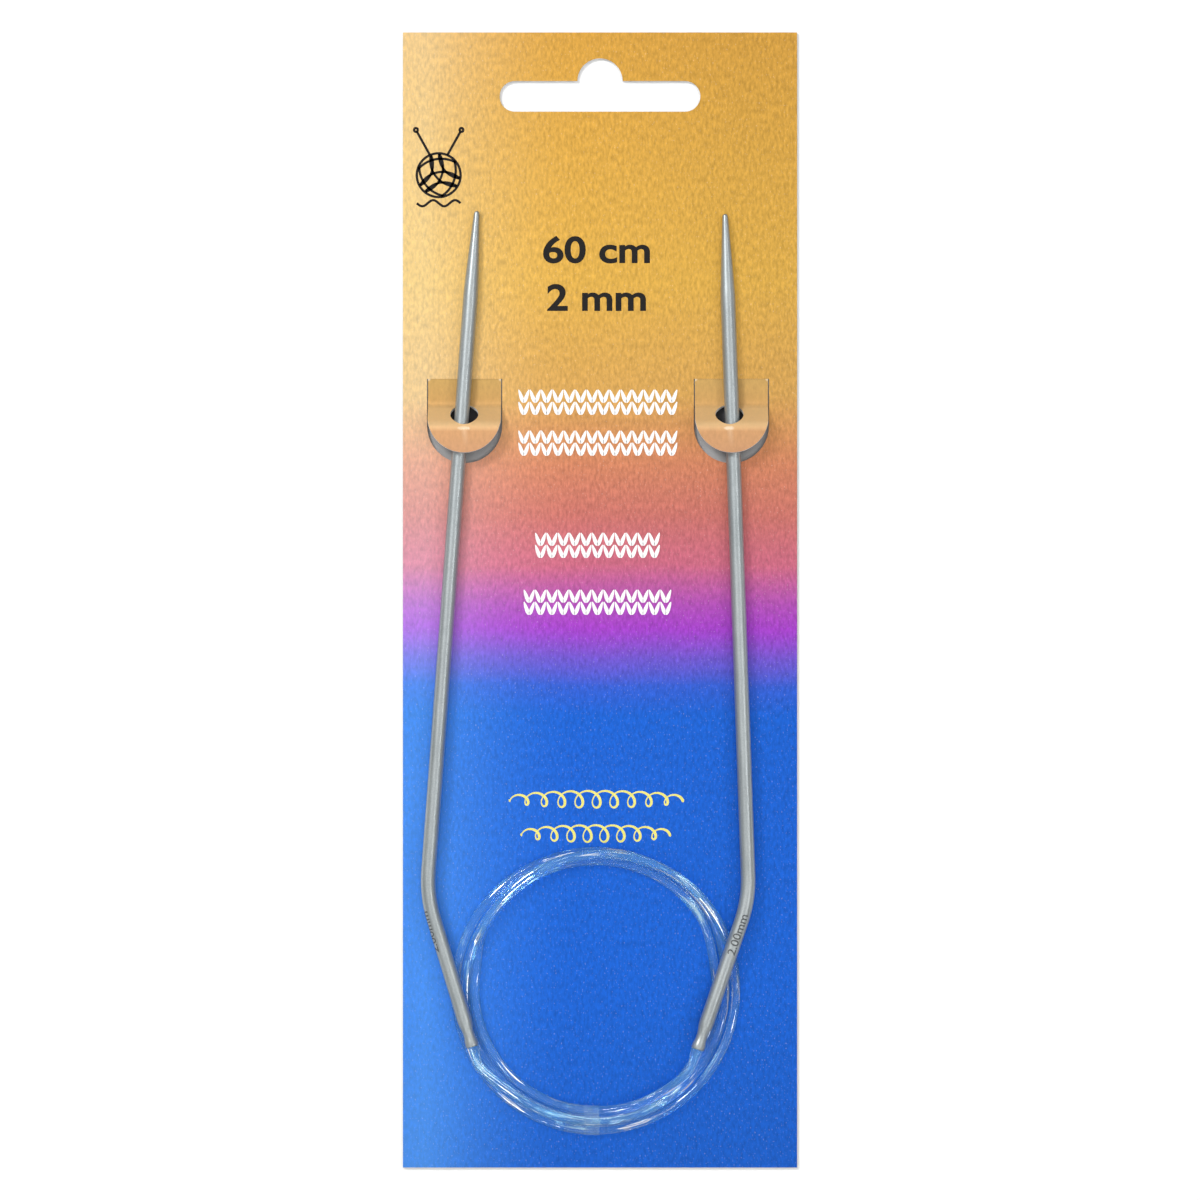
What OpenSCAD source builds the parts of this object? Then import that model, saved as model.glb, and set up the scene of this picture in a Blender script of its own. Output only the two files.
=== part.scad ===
// Circular knitting needle, 2 mm by 60 cm, threaded into its hang card.
// The card lies on its back: +Y runs up to the hang slot and +Z is the printed side.
// The origin is the centre of the card's back.

/* [Card] */
// Width of the card
card_w = 54; // [50:1:60]
// Height of the card
card_h = 155.5; // [150:0.5:165]
// Thickness of the board
board = 0.4; // [0.3:0.05:0.5]
// Width of the hang slot, end to end
slot_w = 27.5; // [20:0.5:34]
// Height of the hang slot's straight part
slot_h = 4.2; // [4.1:0.1:5]
// Distance from the card's middle up to the slot's middle
slot_y = 69; // [66:0.5:70]
// Width of the round bump above the slot
bump_w = 6.2; // [5:0.1:7]

/* [Tabs] */
// Width of a tab
tab_w = 10; // [9.6:0.1:10.4]
// Distance from the card's middle up to the folds
fold_y = 30.3; // [29.8:0.1:30.8]
// Diameter of the hole that a shaft runs through
hole_d = 3.7; // [3.7:0.05:3.9]
// Gap round a tab, left by the die
kerf = 0.15; // [0.1:0.05:0.2]

/* [Shafts] */
// Diameter of a shaft
shaft_d = 2; // [1.9:0.05:2]
// Tip to the corner of the bend
front_len = 93.8; // [93:0.1:95]
// Corner of the bend to the rear end
rear_len = 21.6; // [21:0.1:22]
// Angle of the bend
bend = 21; // [20:0.5:22]
// Length of the tapered point
taper_len = 12; // [10:0.5:13]
// Diameter at the very tip
tip_d = 0.7; // [0.6:0.05:0.9]

/* [Cable] */
// Diameter of the clear cable
cable_d = 1.3; // [1.2:0.05:1.3]
// Middle radius of the coil
coil_r = 17.8; // [17.6:0.1:18]
// Width of the bundle of turns
bundle_w = 4.2; // [4:0.1:4.4]
// Width of the tape round the bundle
tape_w = 4.5; // [3:0.5:6]

/* [Hidden] */
$fn = 64;
gap = 0.01;                      // between parts that only touch
tape_t = 0.06;
tape_z = board + 0.02;           // underside of the tape
coil_z = tape_z + tape_t + gap;  // underside of the lowest turn
coil_x = -0.6;
coil_y = -53.4;
tape_turn = 264.4;               // where the tape sits on the coil, in degrees

// The fold line is at half the board's thickness. From there a tab rises in an S:
// each pair is a length along the board and its slope in degrees.
tab_bends = [[3.3, 1], [0.4, 16], [0.4, 32], [3, 48], [0.5, 34], [0.5, 20], [3.3, 8]];
hole_step = 3;                   // the straight stretch that holds the hole
tab_x = [-18.55, 18];
hole_x = [-18.55, 17.7];

// Each shaft lies in a plane that tips up slightly towards the coil.
tilt = atan(0.017);
lean = [-4.16, 1.97];            // turn of the front part about +Z, left then right
corner = [[-23.66, -40.3], [20.33, -40.9]];
bend_r = 18;
bend_cut = bend_r * tan(bend / 2);
bend_d = shaft_d + 0.04;         // the bend is a hair thicker, and the straight parts run
bend_in = bend_cut - 0.5;        // a little way into it
neck_d = 1.5;
flare_d = 1.8;
plug_d = 0.9;
plug_len = 8;
root_len = 2.3;                  // tapered root of the cable behind the shaft

function slope_y(i) = i < 0 ? 0 : slope_y(i - 1) + tab_bends[i][0] * cos(tab_bends[i][1]);
function slope_z(i) = i < 0 ? 0 : slope_z(i - 1) + tab_bends[i][0] * sin(tab_bends[i][1]);
function board_len(i) = i < 0 ? 0 : board_len(i - 1) + tab_bends[i][0];
function bend_angle(i) = tab_bends[min(max(i, 0), len(tab_bends) - 1)][1];
function tab_edge(i, side) =
    let (a = (bend_angle(i) + bend_angle(i + 1)) / 2, t = side * board / 2)
    [slope_y(i) - t * sin(a), slope_z(i) + t * cos(a)];

tab_len = slope_y(len(tab_bends) - 1);      // as seen from above, raised
flat_len = board_len(len(tab_bends) - 1);   // pressed flat into its window
hole_y = fold_y - (slope_y(hole_step) + slope_y(hole_step - 1)) / 2;
hole_z = board / 2 + (slope_z(hole_step) + slope_z(hole_step - 1)) / 2;
corner_z = [for (c = corner) hole_z + (hole_y - c[1]) * tan(tilt)];

// Points of the cable's leads, from the end of each root down onto the coil.
left_lead = [
    [-16.65, -63.45, 3.2], [-16.05, -64.1, 3.15], [-15.2, -64.9, 3.02], [-14.2, -65.7, 2.86],
    [-13.15, -66.5, 2.7], [-12, -67.3, 2.57], [-10.85, -68.1, 2.49], [-9.7, -68.8, 2.46]
];
right_lead = [
    [12.45, -63.75, 3.2], [11.9, -64.5, 3.15], [11, -65.4, 3.02], [10, -66.2, 2.86],
    [8.9, -66.95, 2.7], [7.75, -67.6, 2.57], [6.5, -68.3, 2.49], [5.2, -68.85, 2.46]
];

// A tab's outline in the flat: a rectangle with a half-round lower end.
module tab_outline(w, h) {
    translate([-w / 2, -h + w / 2]) square([w, h - w / 2]);
    translate([0, -h + w / 2]) circle(d = w);
}

module slot_outline() {
    half = (slot_w - slot_h) / 2;
    translate([-half, -slot_h / 2]) square([2 * half, slot_h]);
    for (x = [-half, half]) translate([x, 0]) circle(d = slot_h);
    translate([0, slot_h / 2]) circle(d = bump_w);
}

module hang_card() {
    color("royalblue")
    linear_extrude(board)
    difference() {
        translate([-card_w / 2, -card_h / 2]) square([card_w, card_h]);
        translate([0, slot_y]) slot_outline();
        for (x = tab_x) translate([x, fold_y]) tab_outline(tab_w + 2 * kerf, flat_len + kerf);
    }
}

// The raised tab, drawn with its fold along X at the origin and falling to -Y.
module tab(hole_shift) {
    steps = len(tab_bends) - 1;
    upper = [for (i = [-1:steps]) tab_edge(i, 1)];
    lower = [for (i = [steps:-1:-1]) tab_edge(i, -1)];
    color("sandybrown")
    difference() {
        intersection() {
            rotate([90, 0, -90])
            linear_extrude(tab_w, center = true)
            polygon(concat(upper, lower));
            translate([0, -kerf / 2, -1]) linear_extrude(6) tab_outline(tab_w, tab_len - kerf / 2);
        }
        translate([hole_shift, hole_y - fold_y, hole_z - board / 2])
        rotate([-bend_angle(hole_step), 0, 0])
        cylinder(d = hole_d, h = 3, center = true);
    }
}

module place_tab(i) {
    translate([tab_x[i], fold_y, board / 2]) tab(hole_x[i] - tab_x[i]);
}

// One shaft in its own plane: the corner of the bend is at the origin, the point is
// towards +Y and the rear part turns towards +X by the angle of the bend.
module shaft() {
    straight = front_len - taper_len;
    color("darkgray")
    difference() {
        union() {
            rotate([-90, 0, 0])
            rotate_extrude()
            polygon([
                [0, bend_in], [shaft_d / 2, bend_in], [shaft_d / 2, straight],
                [shaft_d * 0.46, straight + taper_len * 0.2],
                [tip_d / 2, front_len - tip_d * 0.45], [tip_d * 0.3, front_len - tip_d * 0.12],
                [0, front_len]
            ]);
            shaft_bend();
            rotate([0, 0, bend]) shaft_rear();
        }
        rotate([0, 0, bend])
        translate([0, -rear_len, 0])
        rotate([-90, 0, 0])
        cylinder(d = plug_d, h = plug_len);
    }
}

module shaft_bend() {
    translate([bend_r, bend_cut, 0])
    rotate([0, 0, 180])
    rotate_extrude(angle = bend)
    translate([bend_r, 0]) circle(d = bend_d);
}

// The rear part, swaged to a neck and flared again at its end.
module shaft_rear() {
    rotate([90, 0, 0])
    rotate_extrude()
    polygon([
        [0, bend_in], [shaft_d / 2, bend_in], [shaft_d / 2, rear_len - 3.4],
        [neck_d / 2, rear_len - 2.2], [neck_d / 2, rear_len - 1.5],
        [flare_d / 2, rear_len - 0.6], [flare_d / 2, rear_len], [0, rear_len]
    ]);
}

module place_shaft(i) {
    translate([corner[i][0], corner[i][1], corner_z[i]])
    rotate([-tilt, 0, 0])
    rotate([0, 0, lean[i]])
    mirror([i, 0, 0])
    children();
}

// The end of the cable: a plug inside the shaft, then a root that tapers to the cable.
module cable_end() {
    color("lightblue")
    rotate([0, 0, bend])
    translate([0, -rear_len, 0]) {
        rotate([-90, 0, 0]) cylinder(d = plug_d, h = plug_len);
        rotate([90, 0, 0]) cylinder(d1 = flare_d, d2 = cable_d, h = root_len);
    }
}

// A plain tube along a list of points.
function way(p, i) = p[min(i + 1, len(p) - 1)] - p[max(i - 1, 0)];
function unit(v) = v / norm(v);
function ring_at(p, i, sides) =
    let (t = unit(way(p, i)), u = unit(cross([0, 0, 1], t)), v = cross(t, u))
    [for (k = [0:sides - 1]) p[i] + cable_d / 2 * (cos(360 * k / sides) * u + sin(360 * k / sides) * v)];

module tube(p, sides = 8) {
    last = len(p) - 1;
    points = [for (i = [0:last]) each ring_at(p, i, sides)];
    walls = [for (i = [0:last - 1]) for (k = [0:sides - 1])
        let (a = i * sides + k, b = i * sides + (k + 1) % sides) [a, a + sides, b + sides, b]];
    near = [for (k = [0:sides - 1]) k];
    far = [for (k = [sides - 1:-1:0]) last * sides + k];
    color("lightblue") polyhedron(points, concat([near, far], walls), convexity = 4);
}

// Section of the bundle of turns, with its upper edges rounded like the cable.
module bundle_section() {
    r = cable_d / 2;
    intersection() {
        translate([coil_r - bundle_w / 2, 0]) square([bundle_w, cable_d]);
        union() {
            translate([coil_r - bundle_w / 2, 0]) square([bundle_w, r]);
            translate([coil_r - bundle_w / 2 + r, 0]) square([bundle_w - 2 * r, cable_d]);
            for (s = [-1, 1]) translate([coil_r + s * (bundle_w / 2 - r), r]) circle(r = r);
        }
    }
}

module cable_coil() {
    color("lightskyblue")
    translate([coil_x, coil_y, coil_z]) rotate_extrude($fn = 128) bundle_section();
}

module tape_band() {
    sweep = tape_w / coil_r * 180 / PI;
    inner_w = bundle_w + 2 * gap;
    inner_h = cable_d + 2 * gap;
    color("whitesmoke")
    translate([coil_x, coil_y, tape_z])
    rotate([0, 0, tape_turn - sweep / 2])
    rotate_extrude(angle = sweep)
    difference() {
        translate([coil_r - inner_w / 2 - tape_t, 0]) square([inner_w + 2 * tape_t, inner_h + 2 * tape_t]);
        translate([coil_r - inner_w / 2, tape_t]) square([inner_w, inner_h]);
    }
}

hang_card();
place_tab(0);  // left_tab
place_tab(1);  // right_tab
place_shaft(0) shaft();  // left_needle
place_shaft(1) shaft();  // right_needle
place_shaft(0) cable_end();  // left_cable_end
place_shaft(1) cable_end();  // right_cable_end
tube(left_lead);  // left_cable_lead
tube(right_lead);  // right_cable_lead
cable_coil();
tape_band();
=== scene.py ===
import math

import bmesh
import bpy
from mathutils import Matrix, Vector


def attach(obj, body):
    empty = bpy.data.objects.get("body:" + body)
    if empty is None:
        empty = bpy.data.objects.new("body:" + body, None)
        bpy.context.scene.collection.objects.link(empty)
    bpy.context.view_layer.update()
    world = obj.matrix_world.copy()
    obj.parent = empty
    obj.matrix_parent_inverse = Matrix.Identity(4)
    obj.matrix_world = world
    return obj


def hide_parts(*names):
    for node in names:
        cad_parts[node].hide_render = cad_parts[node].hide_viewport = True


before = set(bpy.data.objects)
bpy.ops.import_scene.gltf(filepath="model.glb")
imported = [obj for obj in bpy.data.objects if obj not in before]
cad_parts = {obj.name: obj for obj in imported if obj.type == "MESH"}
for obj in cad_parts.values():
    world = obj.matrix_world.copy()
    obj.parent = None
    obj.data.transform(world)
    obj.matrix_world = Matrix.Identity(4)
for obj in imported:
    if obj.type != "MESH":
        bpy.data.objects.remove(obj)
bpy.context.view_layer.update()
mm = 0.001
scene = bpy.context.scene
scene.view_settings.view_transform = "Standard"


# Camera straight above the card, floor and studio light

studio = {
    "across": 164.4 * mm,  # width of the view at the card's face
    "lens": 150.0,
    "sensor": 36.0,
    "cardFace": 0.4 * mm,
    "floorSide": 3.0,
    "floorLevel": -0.2 * mm,
    "skyStrength": 0.38,
    "topPower": 4.4,
    "topSide": 1.6,
    "topHeight": 1.5,
    "keyPower": 3.9,
    "keySide": 0.22,
    "keyPlace": (-0.42, 0.4, 0.72),
    "stripPower": 0.62,
    "stripSize": (0.46, 0.1),
    "stripAway": 0.46,
    "stripHeight": 0.6,
    "stripTurns": (20, 110, 245, 335),
}


def linkObject(name, data):
    made = bpy.data.objects.new(name, data)
    scene.collection.objects.link(made)
    return made


def makeCamera():
    lens = bpy.data.cameras.new("cardCamera")
    lens.lens = studio["lens"]
    lens.sensor_width = studio["sensor"]
    lens.clip_start = 0.01
    lens.dof.use_dof = False
    camera = linkObject("cardCamera", lens)
    away = studio["lens"] * studio["across"] / studio["sensor"]
    camera.location = (0, 0, studio["cardFace"] + away)
    scene.camera = camera


def makeLight(name, power, side, place):
    light = bpy.data.lights.new(name, "AREA")
    light.energy = power
    light.shape = "SQUARE"
    light.size = side
    lamp = linkObject(name, light)
    lamp.location = place
    lamp.rotation_euler = (-Vector(place)).to_track_quat("-Z", "Y").to_euler()
    return lamp


makeCamera()
makeLight("topSoftbox", studio["topPower"], studio["topSide"], (0, 0.001, studio["topHeight"]))
makeLight("keySoftbox", studio["keyPower"], studio["keySide"], studio["keyPlace"])
for number, heading in enumerate(studio["stripTurns"]):  # they draw the glints along the clear cable
    turn = math.radians(heading)
    away = studio["stripAway"]
    place = (away * math.cos(turn), away * math.sin(turn), studio["stripHeight"])
    strip = makeLight("stripLamp" + str(number), studio["stripPower"], studio["stripSize"][0], place)
    strip.data.shape = "RECTANGLE"
    strip.data.size_y = studio["stripSize"][1]
world = bpy.data.worlds.new("paleStudio")
scene.world = world
world.use_nodes = True
sky = world.node_tree.nodes["Background"]
sky.inputs["Color"].default_value = (1, 1, 1, 1)
sky.inputs["Strength"].default_value = studio["skyStrength"]
print("studio ready")


# Sockets as plain Python values

class Wire:  # one socket of a node tree, which can be added, scaled and compared
    def __init__(self, tree, socket=None):
        self.tree = tree
        self.socket = socket

    def node(self, kind, settings=None, sockets=None, out=0):
        made = self.tree.nodes.new(kind)
        for name, value in (settings or {}).items():
            if name == "stops":
                fillRamp(made.color_ramp, value)
            else:
                setattr(made, name, value)
        for name, value in (sockets or {}).items():
            if isinstance(value, Wire):
                self.tree.links.new(value.socket, made.inputs[name])
            else:
                made.inputs[name].default_value = value
        return Wire(self.tree, made.outputs[out] if len(made.outputs) else None)

    def output(self, number):  # another output of the same node
        return Wire(self.tree, self.socket.node.outputs[number])

    def maths(self, operation, first, second=0.0, third=0.0, clamp=False):
        settings = {"operation": operation, "use_clamp": clamp}
        return self.node("ShaderNodeMath", settings, {0: first, 1: second, 2: third})

    def __add__(self, other):
        return self.maths("ADD", self, other)

    def __radd__(self, other):
        return self.maths("ADD", other, self)

    def __sub__(self, other):
        return self.maths("SUBTRACT", self, other)

    def __rsub__(self, other):
        return self.maths("SUBTRACT", other, self)

    def __mul__(self, other):
        return self.maths("MULTIPLY", self, other)

    def __truediv__(self, other):
        return self.maths("DIVIDE", self, other)

    def __gt__(self, other):
        return self.maths("GREATER_THAN", self, other)

    def __lt__(self, other):
        return self.maths("LESS_THAN", self, other)

    def between(self, low, high):  # 0 at low, 1 at high, straight between
        return self.maths("MULTIPLY_ADD", self, 1 / (high - low), -low / (high - low), clamp=True)

    def blendTo(self, other, share, way="MIX"):  # colour mix, this one first
        settings = {"data_type": "RGBA", "blend_type": way}
        return self.node("ShaderNodeMix", settings, {0: share, 6: self, 7: other}, out=2)

    def stretched(self, scales):
        settings = {"operation": "MULTIPLY"}
        return self.node("ShaderNodeVectorMath", settings, {0: self, 1: scales})

    def noise(self, scale=1.0, detail=2.0, roughness=0.5):
        sockets = {"Vector": self, "Scale": scale, "Detail": detail, "Roughness": roughness}
        return self.node("ShaderNodeTexNoise", {"noise_dimensions": "3D"}, sockets)


def fillRamp(ramp, stops):
    while len(ramp.elements) > 1:
        ramp.elements.remove(ramp.elements[0])
    for number, (place, colour) in enumerate(stops):
        stop = ramp.elements[0] if number == 0 else ramp.elements.new(place)
        stop.position = place
        stop.color = colour


def screenColour(red, green, blue):  # colour as a screen shows it, from 0 to 255
    parts = [part / 255 for part in (red, green, blue)]
    return (*[part / 12.92 if part < 0.04045 else ((part + 0.055) / 1.055) ** 2.4 for part in parts], 1)


def startMaterial(name):
    material = bpy.data.materials.new(name)
    material.use_nodes = True
    material.node_tree.nodes.clear()
    return material, Wire(material.node_tree)


def readPlace(wire):  # the point on the piece, then its three parts
    place = wire.node("ShaderNodeTexCoord", out=3)
    x = wire.node("ShaderNodeSeparateXYZ", None, {0: place})
    return place, x, x.output(1), x.output(2)


def mixColours(wire, share, first, second):
    return wire.node("ShaderNodeMix", {"data_type": "RGBA"}, {0: share, 6: first, 7: second}, out=2)


def endMaterial(wire, sockets):
    shader = wire.node("ShaderNodeBsdfPrincipled", None, sockets)
    wire.node("ShaderNodeOutputMaterial", None, {"Surface": shader})


# Finishes

foil = {
    "cardHeight": 155.5 * mm,
    "boardTop": 0.385 * mm,
    "boardBack": 0.01 * mm,
    "metal": 0.82,
    "grainAcross": 2700.0,
    "grainAlong": 1050.0,
    "fleck": 5200.0,
    # the painted sheen: a pale cyan reflection added to the foil's colour towards its left edge
    "sheenStart": -24 * mm,
    "sheenEnd": -2 * mm,
    "paintedSheenColour": (0.06, 0.15, 0.17, 1),
    "stops": [
        (0.0, (25, 93, 195)),
        (0.16, (25, 98, 207)),
        (0.4, (26, 97, 205)),
        (0.425, (51, 93, 204)),
        (0.45, (111, 84, 200)),
        (0.475, (161, 64, 196)),
        (0.495, (171, 77, 178)),
        (0.53, (199, 104, 129)),
        (0.575, (198, 114, 104)),
        (0.62, (204, 130, 95)),
        (0.68, (207, 159, 85)),
        (0.78, (212, 166, 73)),
        (1.0, (200, 150, 63)),
    ],
}


def foilGrain(place):
    return place.stretched((foil["grainAcross"], foil["grainAlong"], foil["grainAcross"])).noise(1, 3, 0.62)


def cardMaterial():
    material, wire = startMaterial("foilCard")
    place, x, y, z = readPlace(wire)
    face = z > foil["boardTop"]
    back = z < foil["boardBack"]
    grain = foilGrain(place)
    cloud = place.stretched((60, 24, 60)).noise(1, 2, 0.5)
    fleck = place.stretched((foil["fleck"], foil["fleck"] * 0.6, foil["fleck"])).noise(1, 1, 0.4)
    height = y / foil["cardHeight"] + 0.5 + (cloud - 0.5) * 0.012
    stops = [(at, screenColour(*colour)) for at, colour in foil["stops"]]
    ink = wire.node("ShaderNodeValToRGB", {"stops": stops}, {0: height})
    # grain and cloud are the foil's own tone; the x term is painted light, making the foil lighter towards
    # its left edge
    shade = 1.0 + (grain - 0.5) * 0.85 + (cloud - 0.5) * 0.12 - x * 2.2
    shades = wire.node("ShaderNodeCombineColor", None, {0: shade, 1: shade, 2: shade})
    ink = ink.blendTo(shades, 1.0, "MULTIPLY")
    paintedSheen = x.between(foil["sheenEnd"], foil["sheenStart"])  # painted sheen: the foil is paler towards its left edge, as if lit from there
    ink = ink.blendTo(foil["paintedSheenColour"], paintedSheen * paintedSheen * (0.9 + (cloud - 0.5) * 0.5), "ADD")
    # painted glints: tiny pale flecks put into the foil's colour
    paintedFleckGlint = fleck.between(0.66, 0.78) * 0.14
    ink = ink.blendTo((1.0, 0.97, 0.92, 1), paintedFleckGlint)
    fibre = place.stretched((900, 2600, 900)).noise(1, 4, 0.65)
    paper = mixColours(wire, fibre.between(0.2, 0.8), (0.62, 0.61, 0.57, 1), (0.86, 0.85, 0.82, 1))
    pulp = place.noise(700, 5, 0.7)
    speck = place.noise(2600, 1, 0.3).between(0.7, 0.76) * 0.35
    backing = mixColours(wire, pulp.between(0.3, 0.7), (0.60, 0.59, 0.55, 1), (0.71, 0.70, 0.66, 1))
    backing = backing.blendTo((0.36, 0.33, 0.28, 1), speck)
    colour = paper.blendTo(backing, back).blendTo(ink, face)
    rough = face * (0.4 + (grain - 0.5) * 0.3) + (1 - face) * (0.82 + (pulp - 0.5) * 0.2)
    relief = face * (grain * 0.6 + fleck * 0.4) + (1 - face) * pulp
    bump = wire.node("ShaderNodeBump", None, {"Strength": 0.35, "Distance": 0.02 * mm, "Height": relief})
    endMaterial(wire, {"Base Color": colour, "Metallic": face * foil["metal"], "Roughness": rough,
                       "Normal": bump})
    return material


def boardMaterial():  # the raw board at a die cut
    material, wire = startMaterial("rawBoard")
    place = wire.node("ShaderNodeTexCoord", out=3)
    fibre = place.stretched((1400, 1400, 5200)).noise(1, 4, 0.65)
    colour = mixColours(wire, fibre.between(0.25, 0.75), (0.60, 0.58, 0.54, 1), (0.88, 0.87, 0.84, 1))
    bump = wire.node("ShaderNodeBump", None, {"Strength": 0.4, "Distance": 0.02 * mm, "Height": fibre})
    endMaterial(wire, {"Base Color": colour, "Roughness": 0.8 + (fibre - 0.5) * 0.2, "Normal": bump})
    return material


coating = {
    "colour": (0.31, 0.345, 0.355, 1),
    "light": (0.44, 0.475, 0.48, 1),
    "metal": 0.68,
    "roughness": 0.38,
}


def coatingMaterial():
    material, wire = startMaterial("greyCoating")
    place = wire.node("ShaderNodeTexCoord", out=3)
    grain = place.noise(5200, 3, 0.6)
    draw = place.stretched((2600, 160, 2600)).noise(1, 2, 0.5)  # faint lines of the drawn wire
    patch = place.noise(160, 3, 0.55)
    mixed = grain * 0.5 + draw * 0.3 + patch * 0.2
    colour = mixColours(wire, mixed.between(0.36, 0.66), coating["colour"], coating["light"])
    rough = coating["roughness"] + (grain - 0.5) * 0.22 + (patch - 0.5) * 0.14
    bump = wire.node("ShaderNodeBump", None, {
        "Strength": 0.3, "Distance": 0.01 * mm, "Height": grain * 0.7 + draw * 0.3})
    endMaterial(wire, {"Base Color": colour, "Metallic": coating["metal"], "Roughness": rough,
                       "Normal": bump})
    return material


nylon = {
    "colour": (0.24, 0.67, 1.0, 1),
    "paintedGlintColour": (0.96, 0.99, 1.0, 1),
    "streaks": (2400, 2400, 150),  # across, across and along the strand
}


def cableMaterial():
    material, wire = startMaterial("clearNylon")
    straight = wire.node("ShaderNodeAttribute", {"attribute_name": "straight"}, out=1)
    streak = straight.stretched(nylon["streaks"]).noise(1, 3, 0.6)  # from the drawing of the nylon
    paintedGlint = streak.between(0.58, 0.64)  # painted glints: short white lines in the colour, also made metallic and shinier so that they reflect the lamps
    colour = mixColours(wire, paintedGlint, nylon["colour"], nylon["paintedGlintColour"])
    bump = wire.node("ShaderNodeBump", None, {"Strength": 0.45, "Distance": 0.03 * mm, "Height": streak})
    endMaterial(wire, {"Base Color": colour, "Roughness": 0.02 + streak * 0.05, "IOR": 1.5,
                       "Metallic": paintedGlint * 0.75, "Alpha": 0.46 + paintedGlint * 0.42,
                       "Transmission Weight": 0.8, "Coat Weight": paintedGlint, "Coat IOR": 2.4,
                       "Coat Roughness": 0.04, "Normal": bump})
    return material


tape = {
    "turn": 264.4,
    "width": 4.5,
    "film": 0.05,
    "strands": [(16.45, 1.14), (17.8, 2.44), (19.15, 1.14)],  # what it is pulled tight round
    "spineRadius": 17.8,  # from the coil's middle to the middle strand
    "gap": 0.01,
    "lowest": 0.43,  # its edges end just above the board
    "overlapEdge": 2.2 * mm,  # the film lies twice to the right of this far left of the middle
    "overlapBlur": 0.03 * mm,
    "steps": 14,
}


def tapeMaterial():
    material, wire = startMaterial("clearFilm")
    place, x, y, z = readPlace(wire)
    edge = tape["overlapEdge"]
    twice = x.between(-edge - tape["overlapBlur"], -edge + tape["overlapBlur"])
    haze = place.noise(500, 3, 0.6)
    crease = place.stretched((2600, 300, 300)).noise(1, 2, 0.5)
    colour = mixColours(wire, haze.between(0.3, 0.7), (0.30, 0.56, 0.92, 1), (0.62, 0.82, 1.0, 1))
    bump = wire.node("ShaderNodeBump", None, {
        "Strength": 0.4, "Distance": 0.02 * mm, "Height": crease * 0.6 + haze * 0.4})
    endMaterial(wire, {"Base Color": colour, "Roughness": 0.16 + haze * 0.16,
                       "Alpha": 0.02 + haze * 0.05 + twice * 0.07, "IOR": 1.48, "Normal": bump})
    return material


underTabs = {  # the floor's shade, as little light gets in below a raised tab
    "height": 24.7,  # on the card
    "near": 2.0,
    "far": 8.0,
    "colour": (0.06, 0.06, 0.065, 1),
}


def inkMaterial(name, dark, light, roughness, shades=()):
    # For print and for the floor. Shades are the places of the dark spots under the tabs.
    material, wire = startMaterial(name)
    place, x, y, z = readPlace(wire)
    cover = place.noise(4200, 3, 0.6)
    colour = mixColours(wire, cover.between(0.3, 0.7), dark, light)
    for middle in shades:
        across = x / mm - middle
        along = y / mm - underTabs["height"]
        away = across * across + along * along
        shade = 1 - away.between(underTabs["near"] ** 2, underTabs["far"] ** 2)
        colour = colour.blendTo(underTabs["colour"], shade)
    bump = wire.node("ShaderNodeBump", None, {"Strength": 0.2, "Distance": 0.01 * mm, "Height": cover})
    endMaterial(wire, {"Base Color": colour, "Roughness": roughness + (cover - 0.5) * 0.2,
                       "Normal": bump, "Specular IOR Level": 0.18})
    return material


finishes = {
    "card": cardMaterial(),
    "board": boardMaterial(),
    "coating": coatingMaterial(),
    "cable": cableMaterial(),
    "tape": tapeMaterial(),
    "black": inkMaterial("blackInk", (0.006, 0.005, 0.005, 1), (0.014, 0.012, 0.011, 1), 0.6),
    "white": inkMaterial("whiteInk", (0.84, 0.85, 0.86, 1), (0.95, 0.95, 0.94, 1), 0.5),
    "yellow": inkMaterial("yellowInk", (0.74, 0.66, 0.12, 1), (0.88, 0.82, 0.26, 1), 0.5),
    "mark": inkMaterial("markInk", (0.05, 0.055, 0.06, 1), (0.14, 0.145, 0.15, 1), 0.5),
}
print("finishes ready")


# Mesh helpers

def makePiece(name, verts, faces, materials, faceMaterials=None, creaseAngle=35):
    mesh = bpy.data.meshes.new(name)
    mesh.from_pydata([tuple(v) for v in verts], [], faces)
    for material in materials:
        mesh.materials.append(material)
    if faceMaterials:
        mesh.polygons.foreach_set("material_index", faceMaterials)
    turnOutwards(mesh, creaseAngle)
    return linkObject(name, mesh)


def turnOutwards(mesh, creaseAngle):
    shape = bmesh.new()
    shape.from_mesh(mesh)
    bmesh.ops.recalc_face_normals(shape, faces=shape.faces)
    shape.to_mesh(mesh)
    shape.free()
    mesh.shade_smooth()
    mesh.set_sharp_from_angle(angle=math.radians(creaseAngle))
    mesh.update()


def thicken(name, flat, place, low, high, materials, sideMaterial=0, creaseAngle=35):
    # A closed sheet from a flat mesh: place(x, y, height) says where each point goes.
    shape = bmesh.new()
    shape.from_mesh(flat)
    bmesh.ops.remove_doubles(shape, verts=shape.verts, dist=1e-7)
    shape.verts.index_update()
    count = len(shape.verts)
    verts = [place(v.co.x, v.co.y, height) for height in (low, high) for v in shape.verts]
    faces = []
    kinds = []
    for face in shape.faces:
        corners = [v.index for v in face.verts]
        faces.append([corner + count for corner in corners])
        faces.append(corners[::-1])
        kinds += [0, sideMaterial]
    for edge in shape.edges:
        if edge.is_boundary:
            loop = edge.link_loops[0]
            a = loop.vert.index
            b = loop.link_loop_next.vert.index
            faces.append([a, b, b + count, a + count])
            kinds.append(sideMaterial)
    shape.free()
    return makePiece(name, verts, faces, materials, kinds, creaseAngle)


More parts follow.
